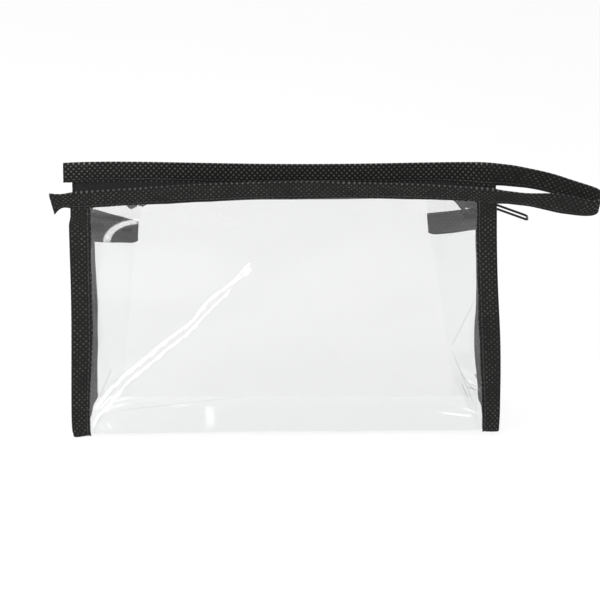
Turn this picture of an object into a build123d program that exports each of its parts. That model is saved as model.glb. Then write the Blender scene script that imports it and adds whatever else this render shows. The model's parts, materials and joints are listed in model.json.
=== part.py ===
"""Clear zipped toiletry bag with folded side gussets, bound edges and a wrist loop.

Millimetres. X runs to the right along the mouth, Y to the rear, Z up. The origin is the
centre of the base, on the surface that the bag stands on.
"""

import os
from math import cos, hypot, radians, sin

from build123d import *

# ---- driving dimensions ----
overall_width = 240.0          # over the two side bindings
binding_width = 11.3           # what shows of a 24 mm tape once it is folded in half
base_half_depth = 28.0
pvc = 0.4                      # clear sheet
fabric = 0.4                   # one layer of the non-woven binding
front_mouth = (-9.8, 136.0)    # where the front top binding starts, as (y, z)
rear_mouth = (10.2, 139.0)
front_splay = 20.0             # degrees that the front top binding leans out
rear_tail = 5.0                # square-cut end past the left side binding
hinge_gap = 0.6                # kept free along the fold under the front wall
corner_gap = 2.5               # bindings stop this far from the bottom folds
foot_gap = 0.3                 # main panels stop this far from the bottom folds
middle_gap = 0.2               # half the space left open along a gusset's crease
skin_gap = 0.02                # between the two faces that meet along a gusset's seam
slip = 0.05                    # clearance round what is pushed into a fold
binding_gap = 0.1              # between a side binding and the top binding above it
cut_margin = 1.0               # how far a cutting shape runs past what it cuts
base_step = (4.7, 1.7)         # inside the seam, where the base rises over the bindings

# slanted tail of the front binding, as reach past the left side and height above its lower edge
fishtail = ((0, 11.0), (5, 9.3), (13, 11.3), (9, -0.5), (4, 3.0), (0, 0.3))

# gusset: how far its crease stands inside the side seam, by height
crease_inset = ((0.8, 0.0), (27.0, 16.0), (75.0, 21.6), (123.0, 25.6))
gusset_top = crease_inset[-1][0]
tab_seam_gap = 2.2             # the strip on a gusset's top edge starts this far from the seam
tab_crease_gap = 1.6           # and stops this far short of the crease

# zipper
coil_z = 126.2
coil_height = 1.8
coil_inner = 0.7               # half the gap between the two rows of coil
coil_outer = 2.0
tape_flat = 4.8                # half width of the level part of the tapes
tape = 0.4
tape_in_binding = 5.0
tape_drop = 0.5                # the tape turns in this far below the lower edge of its binding
coil_corner = 0.4
rear_chain = (-107.0, 107.0)
front_chain = (-86.5, 102.5)   # clear of the slider where it parks at either end

# slider, parked at the closed end
slider_left = 103.0
slider_right = 112.2
slider_half_width = 4.0
plate = 1.0
channel_half_height = 1.3
bridge_half_width = 1.1
bridge_height = 3.5
bridge_wall = 0.9
bridge_setback = 1.0           # from the plates' left end
bridge_overhang = 0.7          # past their right end
bridge_corner = 1.6
plate_corner = 1.6
post_size = (2.6, 1.0)
post_corner = 0.4
post_setback = 2.2             # middle of the post, from the plates' right end
pull_axis_rise = 1.25          # above the upper plate
pull_corner = 1.4
pull_axis_x = 111.0
pull_length = 27.0
pull_half_width = 3.3
pull_wire = 1.3                # wire diameter
pull_droop = 21.0              # degrees below level where it hangs past the chain

# wrist loop
loop_straight = 47.0
loop_radius = 10.0
loop_droop = 13.0
loop_roll = 8.0
loop_base = (-0.6, 137.6)      # y and z of the loop's middle at the right side seam

# stitching
thread_width = 0.5
thread_height = 0.25
thread_inset = 1.6             # from a binding's raw edge
thread_end = 1.0               # rows stop this far from the end of a binding

half_width = overall_width / 2
seam_x = half_width - binding_width
stack = 2 * fabric + 2 * pvc   # folded binding over two sheets
slot_x = half_width - fabric
parts_made = {}


# ---- small geometry helpers ----
def unit(start, end):
    """Unit vector from start to end."""
    length = hypot(end[0] - start[0], end[1] - start[1])
    return (end[0] - start[0]) / length, (end[1] - start[1]) / length


def along(start, end, distance):
    """The point a distance from start towards end."""
    ux, uy = unit(start, end)
    return start[0] + ux * distance, start[1] + uy * distance


def side_line(path, offset):
    """A path moved sideways by offset, to the right of its direction, with mitred corners."""
    moved = []
    for i, (px, py) in enumerate(path):
        before = unit(path[max(i - 1, 0)], path[max(i, 1)])
        after = unit(path[min(i, len(path) - 2)], path[min(i + 1, len(path) - 1)])
        mx, my = before[0] + after[0], before[1] + after[1]
        scale = 2 / (mx * mx + my * my)
        moved.append((px + my * scale * offset, py - mx * scale * offset))
    return moved


def band(path, near, far):
    """Closed outline of the strip between two sideways offsets of a path."""
    return side_line(path, near) + side_line(path, far)[::-1]


def extruded_band(outline, x_start, x_end):
    """A Y-Z outline run along X."""
    with BuildPart() as strip:
        with BuildSketch(Plane.YZ.offset(x_start)):
            with BuildLine():
                Polyline(*outline, close=True)
            make_face()
        extrude(amount=x_end - x_start)
    return strip.part


def keep(part, label):
    """Labels a finished part, and writes it."""
    part.label = label
    parts_made[label] = part
    export_step(part, f"parts/{label}.step")


# ---- wall lines, as paths in Y-Z that go up, with the inside of the bag given by a sign ----
splay = (-sin(radians(front_splay)), cos(radians(front_splay)))
front_top = (
    front_mouth[0] + binding_width * splay[0],
    front_mouth[1] + binding_width * splay[1],
)
rear_top = (rear_mouth[0], rear_mouth[1] + binding_width)
walls = {
    "front": {"foot": (-base_half_depth, 0.0), "mouth": front_mouth, "top": front_top, "inward": 1},
    "rear": {"foot": (base_half_depth, 0.0), "mouth": rear_mouth, "top": rear_top, "inward": -1},
}


def wall_y(wall, z):
    """Y of a wall's outermost face at a height."""
    foot, mouth = wall["foot"], wall["mouth"]
    return foot[0] + (mouth[0] - foot[0]) * z / mouth[1]


def wall_band(wall, near, far, start, end):
    """Outline of a layer of a side wall between two depths and two distances up it."""
    foot, mouth = wall["foot"], wall["mouth"]
    path = [along(foot, mouth, start), along(foot, mouth, end)]
    return band(path, wall["inward"] * near, wall["inward"] * far)


def wall_length(wall):
    """Length of a wall from its foot to the lower edge of its top binding."""
    return hypot(wall["mouth"][0] - wall["foot"][0], wall["mouth"][1])


def side_span(side, inner, outer):
    """X range of a strip at the left (-1) or right (+1) side."""
    return min(side * inner, side * outer), max(side * inner, side * outer)


# ---- clear sheet ----
def wall_panel(wall):
    """A main panel, from the bottom fold up into its top binding."""
    path = [
        along(wall["foot"], wall["mouth"], foot_gap),
        wall["mouth"],
        along(wall["mouth"], wall["top"], binding_width - fabric),
    ]
    outline = band(path, wall["inward"] * fabric, wall["inward"] * (fabric + pvc))
    return extruded_band(outline, -slot_x, slot_x)


def bottom_panel():
    """The base, which steps up by one layer of fabric where the side bindings run under it."""
    step_start = seam_x - base_step[0]
    step_end = seam_x - base_step[1]
    underside = [
        (-slot_x, fabric),
        (-step_end, fabric),
        (-step_start, 0),
        (step_start, 0),
        (step_end, fabric),
        (slot_x, fabric),
    ]
    upper = [(x, z + pvc) for x, z in reversed(underside)]
    rear_edge = base_half_depth - fabric - hinge_gap
    front_edge = base_half_depth - 2 * fabric - hinge_gap
    with BuildPart() as base:
        with BuildSketch(Plane.XZ.offset(-rear_edge)):
            with BuildLine():
                Polyline(*underside, *upper, close=True)
            make_face()
        extrude(amount=rear_edge + front_edge)
    return base.part


def inset(z):
    """How far a gusset's crease stands inside the seam at a height."""
    for (low, a), (high, b) in zip(crease_inset, crease_inset[1:]):
        if z <= high:
            return a + (b - a) * (z - low) / (high - low)
    low, high = crease_inset[-2:]
    return low[1] + (high[1] - low[1]) * (z - low[0]) / (high[0] - low[0])


def leg_outline(wall, side, z, near, far, start=0.0, end=0.0):
    """Level section of half a gusset, from the side seam to the crease, between two depths."""
    sign = wall["inward"]
    seam = (side * seam_x, wall_y(wall, z) + sign * (2 * fabric + pvc))
    crease = (side * (seam_x - inset(z)), -sign * middle_gap)
    ux, uy = unit(seam, crease)
    nx, ny = -side * abs(uy), -sign * abs(ux)
    a = (seam[0] + ux * start, seam[1] + uy * start)
    b = (crease[0] - ux * end, crease[1] - uy * end)
    return [
        (a[0] + nx * near, a[1] + ny * near),
        (b[0] + nx * near, b[1] + ny * near),
        (b[0] + nx * far, b[1] + ny * far),
        (a[0] + nx * far, a[1] + ny * far),
    ]


def gusset_half(wall, side, foot):
    """Half of a side gusset: the leg that folds inwards, and the flange sewn to the wall."""
    heights = [foot] + [z for z, _ in crease_inset[1:]]
    flange = wall_band(wall, fabric + pvc, fabric + 2 * pvc, corner_gap, gusset_top)
    flange_start, flange_end = side_span(side, seam_x - pvc, slot_x)
    with BuildPart() as gusset:
        for z in heights:
            with BuildSketch(Plane.XY.offset(z)):
                with BuildLine():
                    Polyline(*leg_outline(wall, side, z, skin_gap, pvc), close=True)
                make_face()
        loft(ruled=True)
        with BuildSketch(Plane.YZ.offset(flange_start)):
            with BuildLine():
                Polyline(*flange, close=True)
            make_face()
        extrude(amount=flange_end - flange_start)
    return gusset.part


# ---- bindings ----
def folded_binding(outline, slot, x_range, slot_range):
    """A folded strip: an outline run along X, less the slot that holds the sheets."""
    with BuildPart() as binding:
        with BuildSketch(Plane.YZ.offset(x_range[0])):
            with BuildLine():
                Polyline(*outline, close=True)
            make_face()
        extrude(amount=x_range[1] - x_range[0])
        with BuildSketch(Plane.YZ.offset(slot_range[0])):
            with BuildLine():
                Polyline(*slot, close=True)
            make_face()
        extrude(amount=slot_range[1] - slot_range[0], mode=Mode.SUBTRACT)
    return binding.part


def side_binding(wall, side):
    """The strip up one edge of a wall."""
    length = wall_length(wall)
    outline = wall_band(wall, 0, stack, corner_gap, length - binding_gap)
    slot = wall_band(wall, fabric, stack - fabric, 0, length + cut_margin)
    return folded_binding(
        outline, slot, side_span(side, seam_x, half_width), side_span(side, seam_x, slot_x)
    )


def bottom_binding(side):
    """The strip along one side edge of the base. The bag stands on it."""
    half_length = base_half_depth - stack - hinge_gap
    outline = band([(-half_length, 0), (half_length, 0)], 0, -stack)
    slot_length = half_length + cut_margin
    slot = band([(-slot_length, 0), (slot_length, 0)], -fabric, fabric - stack)
    return folded_binding(
        outline, slot, side_span(side, seam_x, half_width), side_span(side, seam_x, slot_x)
    )


def top_outlines(wall):
    """Outline and slot of a top binding."""
    sign = wall["inward"]
    outline = band([wall["mouth"], wall["top"]], 0, sign * stack)
    slot_top = along(wall["mouth"], wall["top"], binding_width - fabric)
    slot_foot = along(wall["mouth"], wall["top"], -cut_margin)
    slot = band([slot_foot, slot_top], sign * fabric, sign * (stack - fabric))
    return outline, slot


def top_binding_rear():
    """The rear strip, which runs past the left side as a square-cut tail."""
    outline, slot = top_outlines(walls["rear"])
    ends = (-half_width - rear_tail, half_width)
    return folded_binding(outline, slot, ends, (ends[0] - cut_margin, ends[1] + cut_margin))


def top_binding_front():
    """The front strip, whose left end is pinched at a neck and flares to a slanted cut."""
    outline, slot = top_outlines(walls["front"])
    face = Plane(origin=(0, *front_mouth), x_dir=(1, 0, 0), z_dir=(0, -splay[1], splay[0]))
    left = -half_width
    span = (left, half_width - fabric)
    slot_span = (left - cut_margin, half_width)
    tail = [(left - reach, height) for reach, height in fishtail]
    with BuildPart() as binding:
        add(folded_binding(outline, slot, span, slot_span))
        with BuildSketch(face.offset(-stack)):
            with BuildLine():
                Polyline(*tail, close=True)
            make_face()
        extrude(amount=stack)
    return binding.part


def gusset_binding(wall, side):
    """The strip folded over the top edge of half a gusset."""
    low, high = gusset_top - binding_width + fabric, gusset_top + fabric
    with BuildPart() as binding:
        for z in (low, high):
            with BuildSketch(Plane.XY.offset(z)):
                with BuildLine():
                    near, far = -slip - fabric, pvc + slip + fabric
                    ends = (tab_seam_gap, tab_crease_gap)
                    Polyline(*leg_outline(wall, side, z, near, far, *ends), close=True)
                make_face()
        loft(ruled=True)
        for z in (low - cut_margin, gusset_top + slip):
            with BuildSketch(Plane.XY.offset(z)):
                with BuildLine():
                    Polyline(*leg_outline(wall, side, z, -slip, pvc + slip), close=True)
                make_face()
        loft(ruled=True, mode=Mode.SUBTRACT)
    return binding.part


def loop_plane():
    """Plane that the wrist loop lies on: it droops to the right and rolls to the front."""
    droop, roll = radians(loop_droop), radians(loop_roll)
    outward = Vector(cos(droop), 0, -sin(droop))
    across = Vector(0, cos(roll), sin(roll))
    return Plane(origin=(half_width, *loop_base), x_dir=outward, z_dir=outward.cross(across))


def loop_ring(inner_radius, outer_radius, base_offset, height):
    """Half a stadium ring, standing on the loop's plane, to the right of the side seam."""
    with BuildPart() as ring:
        with BuildSketch(loop_plane().offset(base_offset)):
            SlotCenterToCenter(2 * loop_straight, 2 * outer_radius)
            SlotCenterToCenter(2 * loop_straight, 2 * inner_radius, mode=Mode.SUBTRACT)
        extrude(amount=height)
        split(bisect_by=Plane.YZ.offset(half_width + slip), keep=Keep.TOP)
    return ring.part


def wrist_loop():
    """The strap between the right ends of the two top bindings."""
    return loop_ring(loop_radius - stack / 2, loop_radius + stack / 2, 0, binding_width)


# ---- zipper ----
def zipper_tape(wall, x_range):
    """Tape from inside the top binding, down and across to the coil."""
    sign = wall["inward"]
    inner_face = side_line([wall["mouth"], wall["top"]], sign * (fabric + pvc))
    level = coil_z - tape / 2
    path = [
        along(inner_face[0], inner_face[1], tape_in_binding),
        along(inner_face[0], inner_face[1], -tape_drop),
        (-sign * tape_flat, level),
        (-sign * (coil_outer + slip), level),
    ]
    return extruded_band(band(path, 0, -sign * tape), *x_range)


def zipper_coil(wall, x_range):
    """One row of the coil, as the bar that its turns fill."""
    low, high = sorted((-wall["inward"] * coil_inner, -wall["inward"] * coil_outer))
    with BuildPart() as coil:
        with BuildSketch(Plane.YZ.offset(x_range[0])):
            with Locations(((low + high) / 2, coil_z)):
                RectangleRounded(high - low, coil_height, coil_corner)
        extrude(amount=x_range[1] - x_range[0])
    return coil.part


def slider_body():
    """Two plates joined by the post that parts the rows of coil."""
    middle = (slider_left + slider_right) / 2
    length = slider_right - slider_left
    with BuildPart() as body:
        for base in (coil_z - channel_half_height - plate, coil_z + channel_half_height):
            with BuildSketch(Plane.XY.offset(base)):
                with Locations((middle, 0)):
                    RectangleRounded(length, 2 * slider_half_width, plate_corner)
            extrude(amount=plate)
        with BuildSketch(Plane.XY.offset(coil_z - channel_half_height - plate / 2)):
            with Locations((slider_right - post_setback, 0)):
                RectangleRounded(*post_size, post_corner)
        extrude(amount=2 * channel_half_height + plate)
    return body.part


def slider_bridge():
    """The arch on the slider that the pull's end bar passes under."""
    foot_z = coil_z + channel_half_height + plate
    left, right = slider_left + bridge_setback, slider_right + bridge_overhang
    middle = (left + right) / 2
    with BuildPart() as bridge:
        with BuildSketch(Plane.XZ.offset(-bridge_half_width)) as arch:
            with Locations((middle, foot_z + bridge_height / 2)):
                Rectangle(right - left, bridge_height)
            fillet(arch.vertices().group_by(Axis.Y)[-1], bridge_corner)
            with Locations((middle, foot_z + (bridge_height - bridge_wall) / 2)):
                Rectangle(
                    right - left - 2 * bridge_wall, bridge_height - bridge_wall, mode=Mode.SUBTRACT
                )
        extrude(amount=2 * bridge_half_width)
    return bridge.part


def pull_wire_frame():
    """A long closed loop of wire whose end bar turns under the bridge."""
    axis_z = coil_z + channel_half_height + plate + pull_axis_rise
    droop = radians(pull_droop)
    frame_plane = Plane(
        origin=(pull_axis_x, 0, axis_z),
        x_dir=(cos(droop), 0, -sin(droop)),
        z_dir=(sin(droop), 0, cos(droop)),
    )
    reach = pull_length - pull_wire / 2
    with BuildPart() as pull:
        with BuildLine(frame_plane) as route:
            FilletPolyline(
                (0, pull_half_width),
                (reach, pull_half_width),
                (reach, -pull_half_width),
                (0, -pull_half_width),
                radius=pull_corner,
                close=True,
            )
        with BuildSketch(Plane(origin=route.line @ 0, z_dir=route.line % 0)):
            Circle(pull_wire / 2)
        sweep()
    return pull.part


# ---- stitching ----
def wall_stitching(wall):
    """Three rows of thread on a wall: up both side bindings, and along the top binding."""
    sign = wall["inward"]
    row = seam_x + thread_inset
    upright = wall_band(wall, -thread_height, 0, corner_gap + thread_end, wall_length(wall) - thread_end)
    foot = along(wall["mouth"], wall["top"], thread_inset)
    head = along(wall["mouth"], wall["top"], thread_inset + thread_width)
    level = band([foot, head], -sign * thread_height, 0)
    with BuildPart() as rows:
        add(extruded_band(upright, *side_span(-1, row, row + thread_width)))
        add(extruded_band(upright, *side_span(1, row, row + thread_width)))
        add(extruded_band(level, thread_end - half_width, half_width - thread_end))
    return rows.part


def bottom_stitching():
    """A row of thread inside each side of the base."""
    half_length = base_half_depth - stack - hinge_gap - thread_end
    outline = band([(-half_length, stack), (half_length, stack)], 0, -thread_height)
    row = seam_x + thread_inset
    with BuildPart() as rows:
        add(extruded_band(outline, *side_span(-1, row, row + thread_width)))
        add(extruded_band(outline, *side_span(1, row, row + thread_width)))
    return rows.part


def loop_stitching():
    """The row of thread round the outside of the wrist loop."""
    surface = loop_radius + stack / 2
    return loop_ring(surface, surface + thread_height, thread_inset, thread_width)


# ---- build and write every piece ----
os.makedirs("parts", exist_ok=True)
sides = {"left": -1, "right": 1}
gusset_foot = {"front": 2.0, "rear": 1.7}

for wall_name, bag_wall in walls.items():
    keep(wall_panel(bag_wall), f"{wall_name}_panel")
    keep(wall_stitching(bag_wall), f"stitching_{wall_name}")
    for side_name, side_sign in sides.items():
        place = f"{side_name}_{wall_name}"
        keep(gusset_half(bag_wall, side_sign, gusset_foot[wall_name]), f"gusset_{place}")
        keep(side_binding(bag_wall, side_sign), f"side_binding_{place}")
        keep(gusset_binding(bag_wall, side_sign), f"gusset_binding_{place}")
keep(bottom_panel(), "bottom_panel")
for side_name, side_sign in sides.items():
    keep(bottom_binding(side_sign), f"side_binding_{side_name}_bottom")
keep(top_binding_rear(), "top_binding_rear")
keep(top_binding_front(), "top_binding_front")
keep(wrist_loop(), "wrist_loop")
keep(zipper_tape(walls["rear"], rear_chain), "zipper_tape_rear")
keep(zipper_tape(walls["front"], front_chain), "zipper_tape_front")
keep(zipper_coil(walls["rear"], rear_chain), "zipper_coil_rear")
keep(zipper_coil(walls["front"], front_chain), "zipper_coil_front")
keep(slider_body(), "slider_body")
keep(slider_bridge(), "slider_bridge")
keep(pull_wire_frame(), "pull_wire_frame")
keep(bottom_stitching(), "stitching_bottom")
keep(loop_stitching(), "stitching_loop")

for label, part in parts_made.items():
    box = part.bounding_box()
    print(f"{label:32s} {len(part.solids())} solids {part.volume:9.1f} mm3  {box.size}")
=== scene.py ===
"""Looks for a clear zipped toiletry bag, built round its CAD frame.

Shapes are worked out in millimetres, in the frame's own axes, and become metres as each mesh
is made. X runs along the mouth, Y to the rear, Z up.
"""

import json
from math import acos, cos, pi, radians, sin, tan

import bpy
import numpy as np
from mathutils import Matrix, Vector


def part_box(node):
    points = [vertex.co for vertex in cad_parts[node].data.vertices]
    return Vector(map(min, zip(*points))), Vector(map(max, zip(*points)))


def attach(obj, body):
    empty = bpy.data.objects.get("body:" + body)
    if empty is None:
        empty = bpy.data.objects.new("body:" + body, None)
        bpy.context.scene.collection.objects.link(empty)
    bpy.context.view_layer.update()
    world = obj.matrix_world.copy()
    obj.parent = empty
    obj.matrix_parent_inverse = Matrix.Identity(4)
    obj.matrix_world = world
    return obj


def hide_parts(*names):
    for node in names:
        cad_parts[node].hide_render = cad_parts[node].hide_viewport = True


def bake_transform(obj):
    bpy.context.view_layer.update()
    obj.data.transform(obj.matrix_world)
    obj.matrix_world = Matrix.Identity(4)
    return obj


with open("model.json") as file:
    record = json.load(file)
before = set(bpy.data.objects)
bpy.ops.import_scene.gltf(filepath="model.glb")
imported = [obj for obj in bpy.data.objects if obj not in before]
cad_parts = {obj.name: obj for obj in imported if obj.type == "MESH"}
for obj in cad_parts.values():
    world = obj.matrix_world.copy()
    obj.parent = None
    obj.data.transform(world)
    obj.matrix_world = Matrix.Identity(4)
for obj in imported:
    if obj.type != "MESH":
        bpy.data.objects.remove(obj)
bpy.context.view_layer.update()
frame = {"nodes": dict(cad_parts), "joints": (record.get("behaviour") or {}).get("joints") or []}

# ---- driving dimensions, in mm ----
MM = 0.001
seam_x, half_width = (corner.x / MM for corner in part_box("side_binding_right_front"))
base_half_depth = -frame["joints"][0]["pos_m"][1] / MM
binding_width = half_width - seam_x
front_mouth = (-9.8, 136.0)      # lower edge of the front top binding, as (y, z)
rear_mouth = (10.2, 139.0)
cloth = 0.4                      # one layer of binding
film = 0.4                       # clear sheet
film_step = 1.1                  # between the clear sheet's points
half_gap = 0.6                   # from the middle of a folded binding to the middle of a layer
fold_depth = 0.8                 # middle of a folded binding, inside the wall's outer face
stitch_pitch = 3.1
stitch_inset = 1.6               # from a binding's raw edge
stitch_half = 1.22               # half of a stitch's length
thread_radius = 0.24
round_sides = 6                  # of a thread's section, and of a coil's wire
grain_step = stitch_pitch / 2
emboss_pitch = (3.0, 1.6)        # between the cloth's pressed dots, along it and across it

# how far the front binding leans out along the mouth, as (x, degrees), and how far its tape does
front_splay = ((-98.0, 20.0), (-48.0, 15.0), (0.0, 19.0), (50.0, 27.0), (100.0, 32.0))
tape_splay = radians(20.0)

# how far the mouth rises above a straight line, as (x, rise)
front_droop = ((-120.0, -6.2), (-60.0, -2.8), (0.0, -0.7), (60.0, -0.3), (120.0, -3.4))
rear_droop = ((-120.0, 0.2), (-60.0, 0.1), (0.0, -1.3), (60.0, -0.8), (120.0, -0.7))
corner_round = {-1: 5.5, 1: 2.5}   # radius of each side's lower corners
wall_belly = 1.3                   # how far the walls stand out in the middle
left_out = 0.9                     # how far the left side stands out below the mouth
right_lean = 1.9                   # how far the right side leans in at the mouth
right_belly = 0.8                  # how far it stands out near the foot
left_foot, right_foot = -3.2, 1.3  # the left front corner stands forward, and the right one back
body_fold = 4.0                    # radius of the clear sheet's folds along the base
binding_fold = 2.6                 # and of the side bindings' turns there
film_above, binding_above = 10.4, 4.0   # how far each stands up inside the mouth binding

# wrist loop
loop_straight = 47.0
loop_radius = 10.0
loop_droop = radians(14.5)
loop_roll = radians(8.0)
loop_base = (half_width, -0.6, 138.8)
mouth_end = half_width - 2.0     # where both edges of the mouth binding leave the bag for the loop
rear_tail, front_tail = 5.0, 13.0   # how far it stands out on the left

# gussets: how far the crease stands in from the seam by height, and the heights of their tops
crease_heights = (0.8, 27.0, 75.0, 124.0)
crease_insets = {-1: (0.0, 16.0, 21.6, 27.6), 1: (0.0, 16.0, 21.6, 28.8)}
vertex_height = 27.0
gusset_tops = {-1: (122.7, 118.0, 121.4), 1: (128.8, 122.4, 121.4)}   # front, crease, rear

# zipper
coil_z = sum(corner.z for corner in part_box("zipper_coil_rear")) / 2 / MM
chain_rise = 7.6                 # the chain stands higher between its ends, where the tapes are sewn
coil_pitch = 1.25
coil_points = 14                 # to a turn
chain_runs = {"rear": (-88.4, 107.0), "front": (-80.0, 102.5)}   # left and right ends, in x
tape_left = -half_width + 1.5
tape_step = 0.55


# ---- numbers ----
def smooth(low, high, x):
    """Smooth step from 0 at low to 1 at high."""
    t = np.clip((x - low) / (high - low), 0, 1)
    return t * t * (3 - 2 * t)


def through(points, x):
    """The curve through all the points, carried a little past its ends and then held level."""
    known, values = zip(*points)
    fit = np.polyfit(known, values, len(points) - 1)
    return np.polyval(fit, np.clip(x, known[0] - 6, known[-1] + 2))


def unevenness(u, v, size, seed):
    """Gentle irregular waves of about one size, mostly between -1 and 1."""
    draw = np.random.default_rng(seed)
    total, waves = 0, 7
    for _ in range(waves):
        angle, phase, stretch = draw.uniform(0, pi), draw.uniform(0, 2 * pi), draw.uniform(0.7, 1.7)
        total = total + np.sin(2 * pi * (u * cos(angle) + v * sin(angle)) / (size * stretch) + phase)
    return total / waves ** 0.5


def unit(vectors):
    """Vectors scaled to a length of one."""
    return vectors / np.maximum(np.linalg.norm(vectors, axis=-1, keepdims=True), 1e-9)


def hump(x, width):
    """A bell of height 1."""
    return np.exp(-(x / width) ** 2)


# ---- the bag's lines ----
def wall_line(foot_y, mouth, depth, base_z):
    """Start at the base and end at the mouth of a wall's line, a depth inside its outer face."""
    foot = np.array((foot_y, 0.0))
    up = unit(np.array(mouth) - foot)
    inward = np.array((up[1], -up[0])) if foot_y < 0 else np.array((-up[1], up[0]))
    start = foot + inward * depth
    start = start + up * (base_z - start[1]) / up[1]
    return start, np.array(mouth) + inward * depth


def rounded_path(corners, radii, step):
    """Points a step apart along straight runs joined by arcs."""
    corners = [np.array(c, float) for c in corners]
    start, points = corners[0], []

    def run(a, b):
        count = max(int(np.linalg.norm(b - a) / step), 1)
        points.extend(a + (b - a) * k / count for k in range(count))

    for before, corner, after, radius in zip(corners, corners[1:], corners[2:], radii):
        d0, d1 = unit(corner - before), unit(after - corner)
        turn = acos(float(np.clip(d0 @ d1, -1, 1)))
        side = unit(d1 - d0 * (d0 @ d1))
        arc_start = corner - d0 * radius * tan(turn / 2)
        run(start, arc_start)
        count = max(int(radius * turn / step), 5)
        for k in range(count):
            angle = turn * k / count
            points.append(arc_start + side * radius * (1 - cos(angle)) + d0 * radius * sin(angle))
        start = corner + d1 * radius * tan(turn / 2)
    run(start, corners[-1])
    points.append(corners[-1])
    return np.array(points)


def wrap_path(depth, base_z, radius, above, step):
    """Round the bag from the front mouth, under the base and up the rear, in Y-Z."""
    front_foot, front_top = wall_line(-base_half_depth, front_mouth, depth, base_z)
    rear_foot, rear_top = wall_line(base_half_depth, rear_mouth, depth, base_z)
    front_end = front_top + np.array((-sin(tape_splay), cos(tape_splay))) * above
    rear_end = rear_top + np.array((0.0, above))
    mouth_radius = 3.0
    return rounded_path((front_end, front_top, front_foot, rear_foot, rear_top, rear_end),
                        (mouth_radius, radius, radius, mouth_radius), step)


def settle(points):
    """The soft bag's departures from the straight frame, for points in the frame's axes."""
    p = np.array(points, float)
    x, y, z = p[..., 0].copy(), p[..., 1].copy(), p[..., 2].copy()
    side = np.sign(x)
    outer = np.clip((np.abs(x) - seam_x + 3) / (binding_width + 3), 0, 1.2)
    # the mouth sags
    high = smooth(118, 134, z)
    p[..., 2] += through(front_droop, x) * smooth(1.5, 8, -y) * high
    p[..., 2] += through(rear_droop, x) * smooth(1.5, 8, y) * high
    p[..., 1] += 0.7 * unevenness(x, z * 0.2, 95, 3) * smooth(60, 130, z) * smooth(3, 9, np.abs(y))
    # the right side leans in at the mouth and stands out near the foot
    p[..., 0] -= right_lean * smooth(-40, 118, x) * smooth(50, 124, z) * (1 - smooth(125, 168, x))
    p[..., 0] += np.where(side > 0, right_belly, 0) * outer * hump(z - 45, 32) * smooth(124, 121, x)
    p[..., 0] -= np.where(side < 0, left_out, 0) * outer * smooth(132, 120, z)
    # the front of the base is askew
    askew = left_foot * smooth(0, -110, x) + right_foot * smooth(0, 110, x)
    p[..., 1] += askew * (1 + 0.9 * outer * (side < 0)) * smooth(4, 26, -y) * smooth(105, 5, z)
    # lower corners are rounded where the binding turns under
    for sign, radius in corner_round.items():
        reach = np.clip(radius - np.hypot(np.abs(y) - base_half_depth, z), 0, radius)
        inward = radius - np.sqrt(radius ** 2 - reach ** 2)
        p[..., 0] -= np.where(side == sign, sign, 0) * outer * inward
    # walls belly out, and their side edges wander
    belly = np.cos(np.clip(x / seam_x, -1, 1) * pi / 2) * np.sin(np.clip(z / 136, 0, 1) * pi)
    p[..., 1] += np.sign(y) * wall_belly * belly * smooth(3, 11, np.abs(y))
    p[..., 0] += side * 0.3 * unevenness(z, y * 0.3, 60, 11) * outer * smooth(0, 12, z)
    p[..., 1] += 0.35 * unevenness(z, x * 0.15, 60, 5) * smooth(2, 20, z) * smooth(4, 9, np.abs(y))
    return p


def lean_front(points):
    """Turns what stands above the front mouth line to the lean its binding has there."""
    p = np.array(points, float)
    off_y, off_z = p[..., 1] - front_mouth[0], p[..., 2] - front_mouth[1]
    above = off_z * cos(tape_splay) - off_y * sin(tape_splay)
    turn = np.radians(np.interp(p[..., 0], *zip(*front_splay))) - tape_splay
    turn = turn * smooth(-1.5, 2.0, above) * (p[..., 1] < 0)
    p[..., 1] = front_mouth[0] + off_y * np.cos(turn) - off_z * np.sin(turn)
    p[..., 2] = front_mouth[1] + off_z * np.cos(turn) + off_y * np.sin(turn)
    return p


# ---- meshes ----
def grid_faces(rows, columns, first=0):
    """Quads of a grid of points."""
    index = np.arange(rows * columns).reshape(rows, columns) + first
    return np.stack([index[:-1, :-1], index[:-1, 1:], index[1:, 1:], index[1:, :-1]], -1).reshape(-1, 4)


def make_mesh(name, points, faces, material, sharp, across=None):
    """An object from points in mm, with its place on the cloth kept for the material."""
    mesh = bpy.data.meshes.new(name)
    mesh.from_pydata((np.asarray(points).reshape(-1, 3) * MM).tolist(), [], [list(f) for f in faces])
    if across is not None:
        place = mesh.attributes.new("cloth_place", "FLOAT_VECTOR", "POINT")
        place.data.foreach_set("vector", np.asarray(across, np.float32).ravel())
    mesh.shade_smooth()
    mesh.set_sharp_from_angle(angle=radians(sharp))
    mesh.materials.append(material)
    obj = bpy.data.objects.new(name, mesh)
    bpy.context.scene.collection.objects.link(obj)
    return obj


def thick_sheet(name, surface, thickness, material, across, sharp=50.0):
    """A closed sheet with a rim, from the grid of points down its middle."""
    normal = unit(np.cross(np.gradient(surface, axis=0), np.gradient(surface, axis=1)))
    rows, columns = surface.shape[:2]
    count = rows * columns
    points = np.concatenate([(surface + normal * thickness / 2).reshape(-1, 3),
                             (surface - normal * thickness / 2).reshape(-1, 3)])
    front = grid_faces(rows, columns)[:, ::-1]
    back = grid_faces(rows, columns, count)
    index = np.arange(count).reshape(rows, columns)
    rim = np.concatenate([index[0, :-1], index[:-1, -1], index[-1, :0:-1], index[:0:-1, 0]])
    after = np.roll(rim, -1)
    edge = np.stack([rim, after, after + count, rim + count], -1)
    faces = np.concatenate([front, back, edge])
    across = np.concatenate([across.reshape(-1, 3), across.reshape(-1, 3)])
    return make_mesh(name, points, faces.tolist(), material, sharp, across)


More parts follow.
